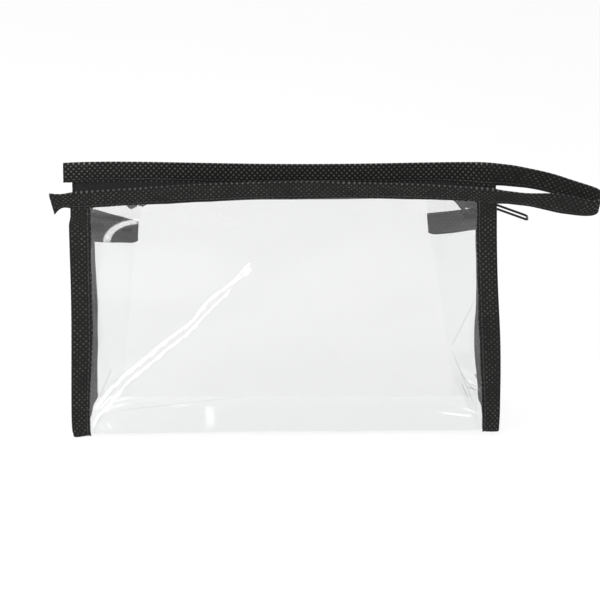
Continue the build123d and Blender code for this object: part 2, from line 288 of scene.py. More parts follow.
class Strip:
    """A tape folded in half along a line, with its raw edges on one side."""

    def __init__(self, fold, raw, seed, gap=half_gap):
        self.fold, self.seed = fold, seed
        self.gap = np.broadcast_to(np.asarray(gap, float), (len(fold),))
        self.width = np.linalg.norm(raw - fold, axis=1)
        self.down = unit(raw - fold)
        tangent = unit(np.gradient(fold, axis=0))
        self.out = unit(np.cross(tangent, self.down))
        steps = np.linalg.norm(np.diff(fold, axis=0), axis=1)
        self.run = np.concatenate([[0], np.cumsum(steps)])

    def surface(self):
        """Points down the middle of the cloth, and each one's place on it."""
        from_raw_edge = (0, 0.5, 1.05, 1.6, 2.15, 2.8, 3.7, 4.8, 5.9, 7.0, 8.1, 9.2, 10.1)
        grid, marks = [], []
        ripple = np.cos(2 * pi * self.run / stitch_pitch)
        scale = self.width / binding_width

        def add(down, level, v):
            grid.append(self.fold + self.down * down[:, None] + self.out * level[:, None])
            marks.append(np.stack([self.run, v + 0 * self.run, 0 * self.run], -1))

        def layer(sign, distances):
            for d in distances:
                edge = 0.22 * unevenness(self.run, 0 * self.run, 24, self.seed + sign) * smooth(4, 0, d)
                press = -0.2 * hump(d - stitch_inset, 0.6) + 0.16 * hump(d - 0.3, 0.5)
                press = press + 0.06 * ripple * hump(d - stitch_inset, 1.0)
                press = press + 0.12 * unevenness(self.run, d + 0 * self.run, 15, self.seed + 7 * sign)
                press = press + 0.14 * self.gap * hump(d - 8.0, 3.0)
                v = d if sign > 0 else 2 * binding_width - d
                add(self.width - d * scale + edge, sign * (self.gap + press), v)

        layer(1, from_raw_edge)
        for k, angle in enumerate(np.linspace(pi / 2, -pi / 2, 7)):
            v = binding_width + (k - 3) * 0.25
            add(self.gap * 1.15 * (1 - cos(angle)), self.gap * sin(angle) * 1.1, v)
        layer(-1, from_raw_edge[::-1])
        return np.stack(grid, 1), np.stack(marks, 1)

    def build(self, name, material, slot):
        """The folded cloth."""
        grid, marks = self.surface()
        return thick_sheet(name, settle(grid), cloth, material, marks)

    def stitches(self, name, material, slot):
        """A row of single stitches on each layer, beside the raw edges."""
        capsules, start = Capsules(), 1.5
        count = int((self.run[-1] - 2 * start) / stitch_pitch)
        along = np.array([-1.0, -0.72, -0.25, 0.25, 0.72, 1.0])
        for sign in (1, -1):
            for k in range(count):
                middle = start + (k + 0.5) * stitch_pitch
                where = middle + along * stitch_half
                lift = 0.02 + 0.16 * (1 - along ** 4)
                pick = [np.interp(where, self.run, column) for column in (
                    *self.fold.T, *self.down.T, *self.out.T, self.width, self.gap)]
                fold, down, out = (np.stack(pick[i:i + 3], -1) for i in (0, 3, 6))
                scale = pick[9] / binding_width
                level = sign * (pick[10] + lift)
                line = fold + down * (pick[9] - stitch_inset * scale)[:, None] + out * level[:, None]
                capsules.add(line, out, thread_radius * np.array([0.45, 0.85, 1, 1, 0.85, 0.45]))
        return capsules.build(name, material, slot)


class Capsules:
    """Many short round-ended threads in one mesh."""

    def __init__(self):
        self.points, self.faces, self.count = [], [], 0

    def add(self, line, up, radii):
        """A thread along a line of points."""
        tangent = unit(np.gradient(line, axis=0))
        across = unit(np.cross(tangent, up))
        up = np.cross(across, tangent)
        n, rings = round_sides, len(line)
        angles = np.arange(n) * 2 * pi / n
        ring = (across[:, None] * np.cos(angles)[None, :, None]
                + up[:, None] * np.sin(angles)[None, :, None])
        self.points.append((line[:, None] + ring * np.asarray(radii)[:, None, None]).reshape(-1, 3))
        for r in range(rings - 1):
            for k in range(n):
                a, b = self.count + r * n + k, self.count + r * n + (k + 1) % n
                self.faces.append([a, b, b + n, a + n])
        last = self.count + (rings - 1) * n
        self.faces.append([self.count + k for k in range(n)][::-1])
        self.faces.append([last + k for k in range(n)])
        self.count += rings * n

    def build(self, name, material, slot, soft=True):
        """The finished mesh."""
        points = np.concatenate(self.points)
        return make_mesh(name, settle(points) if soft else points, self.faces, material, 80.0)


# ---- materials ----
class Shader:
    """A material's node tree, built from short calls."""

    def __init__(self, name):
        self.material = bpy.data.materials.new(name)
        self.material.use_nodes = True
        self.tree = self.material.node_tree
        self.tree.nodes.clear()
        self.output = self.tree.nodes.new("ShaderNodeOutputMaterial")

    def add(self, kind, inputs=None, **settings):
        """A node, with its settings and its inputs, each a value or another node's socket."""
        node = self.tree.nodes.new("ShaderNode" + kind)
        for key, value in settings.items():
            setattr(node, key, value)
        for key, value in (inputs or {}).items():
            if isinstance(value, bpy.types.NodeSocket):
                self.tree.links.new(value, node.inputs[key])
            else:
                node.inputs[key].default_value = value
        return node

    def maths(self, operation, a, b=0.0, clamp=False):
        """The result of one Math node."""
        return self.add("Math", {0: a, 1: b}, operation=operation, use_clamp=clamp).outputs[0]

    def vectors(self, operation, a, b=(0, 0, 0)):
        """The results of one Vector Math node."""
        return self.add("VectorMath", {0: a, 1: b}, operation=operation).outputs

    def place(self):
        """Each point's place on its cloth, whole and in parts."""
        place = self.add("Attribute", attribute_name="cloth_place").outputs["Vector"]
        return place, self.add("SeparateXYZ", {0: place}).outputs

    def noise(self, scale, detail=3.0, vector=None):
        """A noise texture's value."""
        place = vector or self.add("TexCoord").outputs["Object"]
        return self.add("TexNoise", {"Vector": place, "Scale": scale, "Detail": detail,
                                     "Roughness": 0.55}).outputs["Fac"]

    def ramp(self, value, low, high, to_low=0.0, to_high=1.0):
        """A value carried smoothly from one range to another."""
        return self.add("MapRange", {"Value": value, "From Min": low, "From Max": high,
                                     "To Min": to_low, "To Max": to_high},
                        interpolation_type="SMOOTHSTEP").outputs["Result"]

    def blend(self, factor, a, b):
        """Two colours mixed."""
        mix = self.add("Mix", data_type="RGBA")
        for socket, value in ((mix.inputs[0], factor), (mix.inputs[6], a), (mix.inputs[7], b)):
            if isinstance(value, bpy.types.NodeSocket):
                self.tree.links.new(value, socket)
            else:
                socket.default_value = value
        return mix.outputs[2]

    def stroke(self, place, start, end, width, fade):
        """A mask along a straight line on a wall, between two places given as (x, z) in mm."""
        (x, z), (dx, dz) = start, (end[0] - start[0], end[1] - start[1])
        length = (dx * dx + dz * dz) ** 0.5
        dx, dz = dx / length, dz / length
        off = self.vectors("SUBTRACT", place, (x + dx * length / 2, 0, z + dz * length / 2))[0]
        along = self.vectors("DOT_PRODUCT", off, (dx, 0, dz))["Value"]
        across = self.vectors("DOT_PRODUCT", off, (-dz, 0, dx))["Value"]
        along, across = self.maths("ABSOLUTE", along), self.maths("ABSOLUTE", across)
        within = self.ramp(along, length * (1 - fade) / 2, length / 2, 1.0, 0.0)
        return self.maths("MULTIPLY", within, self.ramp(across, width * 0.2, width * 0.6, 1.0, 0.0))

    def arc(self, place, centre, radii, width):
        """A mask along the upper left quarter of an ellipse on a wall, in mm."""
        off = self.vectors("SUBTRACT", place, (centre[0], 0, centre[1]))[0]
        flat = self.vectors("MULTIPLY", off, (1 / radii[0], 0, 1 / radii[1]))[0]
        ring = self.vectors("LENGTH", flat)["Value"]
        ring = self.maths("ABSOLUTE", self.maths("SUBTRACT", ring, 1.0))
        axes = self.add("SeparateXYZ", {0: off}).outputs
        quarter = self.maths("MULTIPLY", self.ramp(axes[0], -2.0, 0.5, 1.0, 0.0),
                             self.ramp(axes[2], -1.0, 1.5, 0.0, 1.0))
        share = width / (radii[0] + radii[1])
        return self.maths("MULTIPLY", quarter, self.ramp(ring, share * 0.6, share * 1.4, 1.0, 0.0))

    def opaque(self, colour, rough, bump, specular):
        """The finished material of something that isn't clear."""
        return self.finish(self.add("BsdfPrincipled", {
            "Base Color": colour, "Roughness": rough, "Specular IOR Level": specular,
            **({"Normal": bump} if bump else {})}).outputs[0])

    def finish(self, shader):
        """Sends a shader to the surface."""
        self.tree.links.new(shader, self.output.inputs["Surface"])
        return self.material


def grey(level, tint=(1, 1, 1)):
    """A near-grey colour."""
    return (level * tint[0], level * tint[1], level * tint[2], 1)


def clear_film(name, tint, mirror_share, haze_high, painted_dark_lines=(), glints=()):
    """Slightly milky vinyl that mirrors the light at its outer face.

    Painted dark lines are painted shade laid into the tint along creases and over the darker parts of the
    tabs behind the film, as (start, end, width, strength).
    Glints are painted highlights: places given a mirror turned to the main light, as (way of drawing the
    mask, its own values, strength). Both are in mm.
    """
    s = Shader(name)
    place, axes = s.place()
    height = s.maths("ADD", s.noise(14.0, 2.0), s.maths("MULTIPLY", s.noise(420.0, 2.0), 0.02))
    bump = s.add("Bump", {"Strength": 0.35, "Distance": 0.0016, "Height": height}).outputs[0]
    rough = s.ramp(s.noise(60.0), 0.35, 0.7, 0.03, 0.09)
    facing = s.add("LayerWeight", {"Blend": 0.5, "Normal": bump}).outputs["Facing"]
    grazing = s.maths("MULTIPLY", s.maths("POWER", facing, 5.0), 10 * mirror_share)
    outside = s.maths("SUBTRACT", 1.0, s.add("NewGeometry").outputs["Backfacing"])
    # the base lies flat on the floor; it is painted nearly clear and given a weaker mirror than the walls, a
    # painted lightening so that it shows no darker than they do
    lifted = s.ramp(axes[2], 0.6, 1.7)
    front = s.ramp(axes[1], -4.0, -2.0, 1.0, 0.0)
    mirror = s.maths("MULTIPLY", s.maths("ADD", grazing, mirror_share), outside)
    mirror = s.maths("MULTIPLY", mirror, s.maths("ADD", s.maths("MULTIPLY", lifted, 0.9), 0.1), clamp=True)
    tint = s.blend(lifted, (0.986, 0.987, 0.987, 1), tint)
    # painted shade: the tint is darkened along creases and over the tabs' darker parts, on the front only
    for start, end, width, strength in painted_dark_lines:
        mask = s.maths("MULTIPLY", s.stroke(place, start, end, width, 0.3), strength)
        tint = s.blend(s.maths("MULTIPLY", mask, front), tint, grey(0.35))
    clear = s.add("BsdfTransparent", {"Color": tint}).outputs[0]
    milky = s.add("BsdfDiffuse", {"Color": (0.87, 0.875, 0.875, 1), "Roughness": 0.5}).outputs[0]
    haze = s.maths("MULTIPLY", s.ramp(s.noise(35.0), 0.3, 0.75, haze_high * 0.4, haze_high), lifted)
    body = s.add("MixShader", {0: haze, 1: clear, 2: milky}).outputs[0]
    gloss = s.add("BsdfGlossy", {"Color": (1, 1, 1, 1), "Roughness": rough, "Normal": bump}).outputs[0]
    shader = s.add("MixShader", {0: mirror, 1: body, 2: gloss}).outputs[0]
    if glints:
        # painted highlights: a mirror whose normal is set halfway between the ways to the main light and to
        # the camera, laid where the masks say
        tilted = s.add("CombineXYZ", {0: -0.300, 1: -0.854, 2: 0.426}).outputs[0]
        glint = s.add("BsdfGlossy", {"Color": (1, 1, 1, 1), "Roughness": 0.12, "Normal": tilted}).outputs[0]
        total = 0.0
        for make, *shape, strength in glints:
            total = s.maths("MAXIMUM", total, s.maths("MULTIPLY", make(s, place, *shape), strength))
        grain = s.ramp(s.noise(260.0, 2.0), 0.25, 0.55, 0.85, 1.0)
        total = s.maths("MULTIPLY", s.maths("MULTIPLY", total, grain), s.maths("MULTIPLY", front, outside))
        shader = s.add("MixShader", {0: total, 1: shader, 2: glint}).outputs[0]
    return s.finish(shader)


def embossed_cloth(name, highlight_run=0.0):
    """Black non-woven cloth pressed with a lattice of small shiny dots, its dots painted paler along its
    first run as a painted highlight.
    """
    s = Shader(name)
    pitch_along, pitch_across = emboss_pitch
    place = s.place()[0]
    drift = s.add("TexNoise", {"Vector": place, "Scale": 0.09, "Detail": 1.0}).outputs["Color"]
    drift = s.vectors("SUBTRACT", drift, (0.5, 0.5, 0.5))[0]
    place = s.vectors("ADD", place, s.vectors("MULTIPLY", drift, (0.8, 0.8, 0.8))[0])[0]
    axes = s.add("SeparateXYZ", {0: place}).outputs
    row = s.maths("DIVIDE", s.maths("ADD", axes[1], 0.6), pitch_across)
    shift = s.maths("MULTIPLY", s.maths("MODULO", s.maths("FLOOR", row), 2.0), 0.5)
    step = s.maths("ADD", s.maths("DIVIDE", axes[0], pitch_along), shift)
    du = s.maths("MULTIPLY", s.maths("SUBTRACT", s.maths("FRACT", step), 0.5), pitch_along)
    dv = s.maths("MULTIPLY", s.maths("SUBTRACT", s.maths("FRACT", row), 0.5), pitch_across)
    away = s.maths("SQRT", s.maths("ADD", s.maths("POWER", du, 2.0), s.maths("POWER", dv, 2.0)))
    dot = s.ramp(away, 0.22, 0.78, 1.0, 0.0)
    # mask for a painted highlight along the fold line, where the dots catch the light
    fold = s.ramp(s.maths("ABSOLUTE", s.maths("SUBTRACT", axes[1], binding_width + 0.1)), 0.5, 1.1, 1.0, 0.0)
    worn = s.ramp(s.add("TexNoise", {"Vector": place, "Scale": 0.35, "Detail": 2.0}).outputs["Fac"],
                  0.36, 0.62, 0.35, 1.0)
    patch = s.add("TexNoise", {"Vector": place, "Scale": 0.06, "Detail": 3.0}).outputs["Fac"]
    worn = s.maths("MULTIPLY", worn, s.ramp(patch, 0.34, 0.56, 0.45, 1.0))
    mottle = s.noise(900.0, 4.0)
    fibres = s.vectors("MULTIPLY", place, (1.0, 4.0, 1.0))[0]
    fibres = s.add("TexNoise", {"Vector": fibres, "Scale": 1.6, "Detail": 4.0}).outputs["Fac"]
    ground = s.blend(s.ramp(fibres, 0.35, 0.7), grey(0.007), grey(0.018, (1, 0.99, 0.94)))
    ground = s.blend(s.ramp(mottle, 0.5, 0.8, 0.0, 0.5), ground, grey(0.024))
    shown = s.maths("MULTIPLY", dot, worn)
    # painted highlight: along the first run, the rear edge of the mouth binding, the dots are painted paler
    # as if lit from above
    painted_dot_highlight = s.ramp(axes[0], highlight_run - 12, highlight_run + 12, 0.11, 0.0)
    colour = s.blend(shown, ground, grey(0.068, (1, 0.99, 0.94)))
    # painted highlight: dots on the fold line are painted brighter
    colour = s.blend(s.maths("MULTIPLY", fold, dot), colour, grey(0.10, (1, 0.99, 0.95)))
    colour = s.blend(s.maths("MULTIPLY", painted_dot_highlight, dot), colour, grey(0.5, (1, 0.99, 0.94)))
    rough = s.ramp(shown, 0.0, 1.0, 0.85, 0.60)
    height = s.maths("SUBTRACT", s.maths("MULTIPLY", fibres, 0.35), dot)
    height = s.maths("ADD", height, s.maths("MULTIPLY", mottle, 0.12))
    bump = s.add("Bump", {"Strength": 0.7, "Distance": 0.00012, "Height": height}).outputs[0]
    return s.opaque(colour, rough, bump, 0.12)


def sewing_thread():
    """Twisted black polyester thread."""
    s = Shader("sewing_thread")
    place = s.add("TexCoord").outputs["Object"]
    twist = s.add("TexWave", {"Vector": place, "Scale": 900.0, "Distortion": 1.5, "Detail": 1.0},
                  bands_direction="DIAGONAL").outputs["Fac"]
    colour = s.blend(twist, grey(0.012), grey(0.060, (1, 0.99, 0.97)))
    bump = s.add("Bump", {"Strength": 0.5, "Distance": 0.00006, "Height": twist}).outputs[0]
    return s.opaque(colour, 0.6, bump, 0.3)


def woven_tape():
    """Black herringbone zipper tape."""
    s = Shader("woven_tape")
    axes = s.place()[1]
    turn = s.maths("PINGPONG", axes[1], 1.6)
    rib = s.maths("SINE", s.maths("MULTIPLY", s.maths("ADD", axes[0], turn), 2 * pi / 0.55))
    yarn = s.maths("SINE", s.maths("MULTIPLY", axes[1], 2 * pi / 0.4))
    weave = s.maths("ADD", s.maths("MULTIPLY", rib, 0.6), s.maths("MULTIPLY", yarn, 0.4))
    fuzz = s.noise(1500.0, 3.0)
    colour = s.blend(s.ramp(weave, -1.0, 1.0), grey(0.008), grey(0.028, (1, 1, 1.03)))
    colour = s.blend(s.ramp(fuzz, 0.55, 0.8, 0.0, 0.4), colour, grey(0.05))
    bump = s.add("Bump", {"Strength": 0.6, "Distance": 0.0001, "Height": weave}).outputs[0]
    return s.opaque(colour, 0.85, bump, 0.2)


def coil_nylon():
    """Smooth black nylon."""
    s = Shader("coil_nylon")
    wear = s.ramp(s.noise(300.0, 3.0), 0.45, 0.75)
    colour = s.blend(wear, grey(0.010), grey(0.022, (1, 1, 1.04)))
    rough = s.ramp(s.noise(800.0), 0.3, 0.7, 0.42, 0.62)
    return s.opaque(colour, rough, None, 0.2)


def black_metal():
    """Black-plated zinc, brighter where it is rubbed."""
    s = Shader("black_metal")
    scratch = s.add("TexCoord").outputs["Object"]
    scratch = s.vectors("MULTIPLY", scratch, (1.0, 7.0, 3.0))[0]
    marks = s.ramp(s.noise(500.0, 5.0, scratch), 0.58, 0.72)
    edge = s.ramp(s.add("NewGeometry").outputs["Pointiness"], 0.50, 0.58)
    worn = s.maths("MAXIMUM", s.maths("MULTIPLY", marks, 0.35), s.maths("MULTIPLY", edge, 0.6))
    colour = s.blend(worn, grey(0.018, (1, 1, 1.03)), grey(0.14))
    rough = s.ramp(s.noise(260.0, 4.0), 0.3, 0.7, 0.26, 0.44)
    bump = s.add("Bump", {"Strength": 0.25, "Distance": 0.00003,
                          "Height": s.noise(900.0, 4.0)}).outputs[0]
    return s.finish(s.add("BsdfPrincipled", {
        "Base Color": colour, "Roughness": rough, "Metallic": 0.9, "Normal": bump}).outputs[0])


def floor_paper():
    """Plain white studio floor."""
    s = Shader("floor_paper")
    colour = s.blend(s.noise(3.0), grey(0.93), grey(0.945))
    return s.finish(s.add("BsdfDiffuse", {"Color": colour, "Roughness": 0.0}).outputs[0])


# the glints below are painted highlights and the painted dark lines further down are painted shade, all at
# places given in mm on the wall
vinyl = clear_film("clear_vinyl", (0.955, 0.956, 0.956, 1), 0.070, 0.022, glints=(
    (Shader.arc, (-82.0, 110.8), (18.0, 11.8), 3.3, 0.085),
    (Shader.stroke, (-83.6, 123.6), (-88.0, 120.6), 1.6, 0.5, 0.05),
    (Shader.stroke, (-43.8, 18.6), (-42.8, 4.0), 6.0, 0.5, 0.022),
    (Shader.stroke, (-66.0, 18.0), (-54.0, 18.2), 2.2, 0.6, 0.012),
    (Shader.stroke, (84.0, 13.0), (108.0, 9.8), 1.6, 0.6, 0.03),
    (Shader.stroke, (97.0, 38.5), (107.0, 32.5), 3.0, 0.7, 0.012),
    (Shader.stroke, (101.0, 33.0), (110.0, 24.0), 1.5, 0.6, 0.03),
    (Shader.stroke, (98.5, 15.5), (109.5, 11.0), 1.2, 0.6, 0.03),
    (Shader.stroke, (-23.4, 91.8), (-19.6, 97.2), 3.0, 0.6, 0.06),
    (Shader.stroke, (-96.6, 31.2), (-108.6, 15.6), 1.9, 0.35, 0.07),
    (Shader.stroke, (-92.4, 27.6), (-106.4, 12.4), 1.9, 0.35, 0.07),
    (Shader.stroke, (-110.0, 5.5), (-105.0, 15.5), 1.4, 0.5, 0.05),
    (Shader.stroke, (-107.2, 15.0), (-95.1, 27.6), 1.3, 0.6, 0.03),
    (Shader.stroke, (-105.8, 15.4), (-88.0, 20.2), 1.6, 0.7, 0.025),
    (Shader.stroke, (-106.4, 19.2), (-85.0, 23.6), 1.2, 0.7, 0.025),
    (Shader.stroke, (-101.8, 9.0), (-98.6, 3.8), 1.4, 0.5, 0.03),
    (Shader.stroke, (-105.0, 7.0), (-103.0, 3.6), 1.0, 0.5, 0.03)),
    painted_dark_lines=(
        ((-96.0, 15.6), (-22.0, 22.4), 0.9, 0.05), ((-104.0, 12.0), (-96.0, 24.0), 0.8, 0.16),
        ((-110.0, 126.4), (-89.0, 123.8), 3.4, 0.6), ((-92.0, 117.6), (-85.6, 118.2), 2.0, 0.7),
        ((-110.0, 119.0), (-101.0, 119.6), 7.0, 0.3), ((98.6, 124.9), (110.0, 125.6), 4.4, 0.6),
        ((98.0, 20.0), (100.5, 50.0), 13.0, 0.03), ((106.2, 35.0), (110.5, 27.0), 1.3, 0.45),
        ((101.6, 27.0), (110.5, 24.4), 0.8, 0.3), ((98.8, 29.4), (103.0, 20.0), 0.8, 0.22),
        ((104.0, 29.5), (108.0, 26.0), 0.9, 0.35)))
# the gussets take the same vinyl painted clearer and with a weaker mirror than the walls, a painted
# lightening so that the sides show no darker than the walls
gusset_vinyl = clear_film("gusset_vinyl", (0.994, 0.995, 0.995, 1), 0.012, 0.003, painted_dark_lines=(
    ((106.3, 77.3), (92.9, 42.4), 0.9, 0.10), ((92.9, 42.4), (106.1, 14.9), 0.9, 0.14),
    ((98.0, 30.0), (107.5, 22.0), 0.8, 0.2), ((-106.0, 20.0), (-99.0, 34.0), 0.8, 0.12)))
binding = embossed_cloth("binding_cloth", -50.0)
mouth_binding = embossed_cloth("mouth_binding_cloth", 2 * half_width)
thread = sewing_thread()
tape_cloth = woven_tape()
nylon = coil_nylon()
metal = black_metal()


# ---- clear sheet ----
def buckle(x, up):
    """How far the front wall's creases stand out, by place along and up the wall."""
    # one long buckle with two crests runs up at 45 degrees from the lower left corner
    corner_x, corner_up, fan_up = -108, 8, 10
    along = ((x - corner_x) + (up - corner_up)) / 2 ** 0.5
    aside = ((up - corner_up) - (x - corner_x)) / 2 ** 0.5
    aside = aside - 4.4 * hump(along - 35, 24) + 0.5 * np.sin(along / 5.5) * smooth(8, 20, along)
    spread = 1.9 - 1.3 * smooth(96, 120, along) - 0.6 * hump(along - 82, 6) - 0.8 * smooth(24, 2, along)
    height = 1.4 * smooth(-4, 6, along) * smooth(132, 121, along)
    out = height * (hump(aside - spread, 0.85) + hump(aside + spread, 0.85))
    # crinkles fan out of the same corner
    fan = ((8, 30, 0.5), (16, 40, 0.6), (27, 26, 0.5), (62, 30, 0.45), (76, 44, 0.4))
    for degrees, reach, strength in fan:
        a = radians(degrees)
        along = (x - corner_x) * cos(a) + (up - fan_up) * sin(a)
        aside = -(x - corner_x) * sin(a) + (up - fan_up) * cos(a)
        out = out + strength * hump(aside, 0.9) * smooth(2, 8, along) * smooth(reach, reach * 0.5, along)
    # small dents just above the base
    out = out + 1.5 * hump(x + 46.0, 2.8) * hump(up - 6.0, 6.0)
    out = out + 0.8 * hump(x + 60.0, 4.2) * hump(up - 15.0, 1.3)
    out = out + 0.9 * hump(x - 92.0, 14.0) * hump(up - 12.5 + 0.12 * (x - 92), 1.2)
    return out


def body_sheet():
    """One sheet: front wall, base and rear wall, folded twice."""
    path = wrap_path(film / 2 + cloth, film / 2, body_fold, film_above, film_step)
    # the rear wall has no creases, and keeps every other row
    keep = [i for i, (y, z) in enumerate(path) if y < -base_half_depth + 20 or i % 2 == 0 or z < 4]
    path = path[sorted(set(keep + [len(path) - 1]))]
    xs = np.linspace(-(half_width - cloth), half_width - cloth, int(2 * half_width / film_step))
    y, x = np.meshgrid(path[:, 0], xs, indexing="ij")
    z = np.broadcast_to(path[:, 1:], x.shape)
    # the base steps up over the side bindings
    z = z + cloth * smooth(103.5, 107, np.abs(x)) * smooth(3.0, 0.2, z)
    surface = settle(lean_front(np.stack([x, y, z], -1)))
    inner = smooth(seam_x, seam_x - 6, np.abs(x)) * smooth(1.2, 5, z) * smooth(136, 128, z)
    corner = smooth(seam_x + 0.5, seam_x - 1, np.abs(x)) * smooth(1.0, 3, z) * smooth(136, 128, z)
    lift = buckle(x, z) * corner * (y < 0) + 0.5 * unevenness(x, z, 75, 21) * inner
    surface[..., 1] += np.sign(y) * lift
    obj = thick_sheet("body_sheet", surface, film, vinyl, surface)
    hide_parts("front_panel", "rear_panel", "bottom_panel")
    return obj


def gusset_section(side, q, z):
    """Points across a gusset, q running -1 at the front seam, 0 in the middle, 1 at the rear."""
    rear = q > 0
    lean = np.where(rear, (base_half_depth - rear_mouth[0]) / rear_mouth[1],
                    (base_half_depth + front_mouth[0]) / front_mouth[1])
    leg_y = base_half_depth - lean * z - cloth * 2 - film
    share = 1 - np.abs(q)
    folded = np.clip(z / vertex_height, 0.02, 1)
    part = np.clip(share / folded, 0, 1)
    rest = np.clip((share - folded) / np.maximum(1 - folded, 1e-6), 0, 1) * (folded < 1)
    depth = np.interp(z, crease_heights, crease_insets[side])
    knee_y = base_half_depth * (1 - folded) * 0.96
    x = seam_x - depth * part
    y = (leg_y * (1 - part) + knee_y * part) * (1 - rest)
    bulge = 0.9 * np.sin(part * pi) * smooth(5, 40, z)
    return np.stack([side * (x + bulge), np.where(rear, 1, -1) * np.maximum(y, 0.25), z + 0 * x], -1)


def gusset_top(side, q):
    """The height of a gusset's top edge, by place across it."""
    front_top, crease_top, rear_top = gusset_tops[side]
    return crease_top + np.where(q < 0, (front_top - crease_top) * -q, (rear_top - crease_top) * q)


def gusset(side, name):
    """A side gusset: folded inwards like a milk carton, with a flange in each side binding."""
    q = np.concatenate([np.linspace(-1, 0, 23), np.linspace(0, 1, 23)[1:]])
    lowest, flange_columns = 0.9, 6
    z = lowest + np.linspace(0, 1, 78)[:, None] * (gusset_top(side, q) - lowest)
    middle = gusset_section(side, np.broadcast_to(q, z.shape), z)
    flanges = []
    for column, sign in ((0, -1), (-1, 1)):
        seam = middle[:, column]
        outwards = np.linspace(half_width - 2 * cloth - seam_x, 1.2, flange_columns)
        flange = np.stack([seam + np.array((side * reach, sign * cloth * 0.5, 0)) for reach in outwards], 1)
        flanges.append(flange if sign < 0 else flange[:, ::-1])
    surface = np.concatenate([flanges[0], middle, flanges[1]], 1)
    # what lies between the seams has softly rounded creases, and crinkles
    edge = flange_columns + 1
    free = slice(edge, -edge)
    for _ in range(3):
        surface[1:-1, free] = (surface[1:-1, free] * 2 + surface[:-2, free] + surface[2:, free]
                               + surface[1:-1, edge - 1:-edge - 1] + surface[1:-1, edge + 1:1 - edge]) / 6
    crinkle = 0.35 * unevenness(surface[..., 1] * 2, surface[..., 2], 26, 31 + side)
    surface[:, free, 0] += crinkle[:, free] * smooth(3, 20, surface[:, free, 2])
    surface = settle(surface)[::side]
    obj = thick_sheet(name, surface, film, gusset_vinyl, surface, sharp=70)
    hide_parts(f"{name}_front", f"{name}_rear")
    return obj


# ---- bindings ----
def side_strip(side):
    """The binding up one side: front edge, under the base, rear edge."""
    path = wrap_path(fold_depth, fold_depth, binding_fold, binding_above, grain_step)
    fold = np.column_stack([np.full(len(path), side * (half_width - 0.1)), path])
    inner = seam_x + 2.0 * smooth(60, 8, path[:, 1])
    inner = inner + 1.5 * smooth(26, 12, np.abs(path[:, 0])) * smooth(12, 3, path[:, 1])
    inner = inner - (2.7 if side > 0 else 0.8) * hump(path[:, 1] - 30, 28) * (path[:, 0] > 0)
    raw = np.column_stack([side * inner, path])
    if side > 0:
        fold, raw = fold[::-1], raw[::-1]
    return Strip(fold, raw, 40 + side)


def rear_edge():
    """The mouth binding's raw edge and fold along the rear wall, from left to right."""
    xs = np.arange(-half_width - rear_tail, mouth_end, grain_step)
    rear_y = rear_mouth[0] - fold_depth
    raw = np.column_stack([xs, np.full(len(xs), rear_y), np.full(len(xs), rear_mouth[1])])
    fold = raw + np.array((0, 0, binding_width))
    raw[:, 2] -= 2.0 * smooth(85, 118, xs)
    return raw, fold


def wrist_loop():
    """Its raw edge and fold round the loop, out along the rear strap and back along the front one."""
    outward = np.array((cos(loop_droop), 0, -sin(loop_droop)))
    across = np.array((0, cos(loop_roll), sin(loop_roll)))
    up = np.cross(outward, across)
    straight = np.arange(4.0, loop_straight, grain_step)
    turns = np.linspace(pi / 2, -pi / 2, 20)
    taper = 1 - 0.38 * smooth(8, 46, straight)
    ways = [(a, loop_radius * k) for a, k in zip(straight, taper)]
    end = loop_radius * taper[-1]
    ways += [(loop_straight + loop_radius * cos(t), end * sin(t)) for t in turns]
    ways += [(a, -loop_radius * k) for a, k in zip(straight[::-1], taper[::-1])]
    raw = np.array([np.array(loop_base) + outward * a + across * b for a, b in ways])
    far, side = np.array(ways).T
    raw += up * (1.3 * hump(far - 28, 13))[:, None]
    # the front strap leans over towards its root
    tilt = radians(25) * smooth(42, 8, far) * (side < 0)
    lean = up * np.cos(tilt)[:, None] - across * np.sin(tilt)[:, None]
    fold = raw + lean * binding_width
    hang = np.where(side > 0, 2.0 * smooth(24, 4, far), 1.6 * hump(far - 38, 11) - 1.4 * hump(far - 13, 9))
    raw -= up * hang[:, None]
    return raw, fold


def front_edge():
    """Its raw edge and fold along the front wall, from right to left."""
    xs = np.arange(mouth_end, -half_width - front_tail, -grain_step)
    angle = np.radians(np.interp(xs, *zip(*front_splay)))
    splay = np.column_stack([0 * xs, -np.sin(angle), np.cos(angle)])
    inward = np.array((0, cos(tape_splay), sin(tape_splay))) * fold_depth
    raw = np.column_stack([xs, np.full(len(xs), front_mouth[0]), np.full(len(xs), front_mouth[1])]) + inward
    fold = raw + splay * binding_width
    # the left end is pinched at a neck, then flares to a slanted cut
    reach = -half_width - xs
    neck = hump(reach - 4.5, 3.4)[:, None]
    flare = smooth(5, 12, reach)[:, None]
    raw = raw + splay * (3.2 * neck - 3.6 * flare) + np.array((2.6, 0, 0)) * flare
    fold = fold - splay * (1.6 * neck + 0.6 * flare)
    return raw, fold


def mouth_strip():
    """One long binding: rear edge, wrist loop, front edge."""
    raw, fold = (np.concatenate(lines) for lines in zip(rear_edge(), wrist_loop(), front_edge()))
    for _ in range(10):
        for line in (fold, raw):
            line[1:-1] = (line[:-2] + 2 * line[1:-1] + line[2:]) / 4
    # it stands wider where it passes over the side bindings, and the loop is pressed together
    x = fold[:, 0]
    gap = half_gap + 0.55 * smooth(105, 110, np.abs(x)) * smooth(124, 119, np.abs(x))
    gap = gap - 0.2 * smooth(120, 128, x) + 0.5 * smooth(-128, -132, x)
    return Strip(fold, raw, 60, gap)


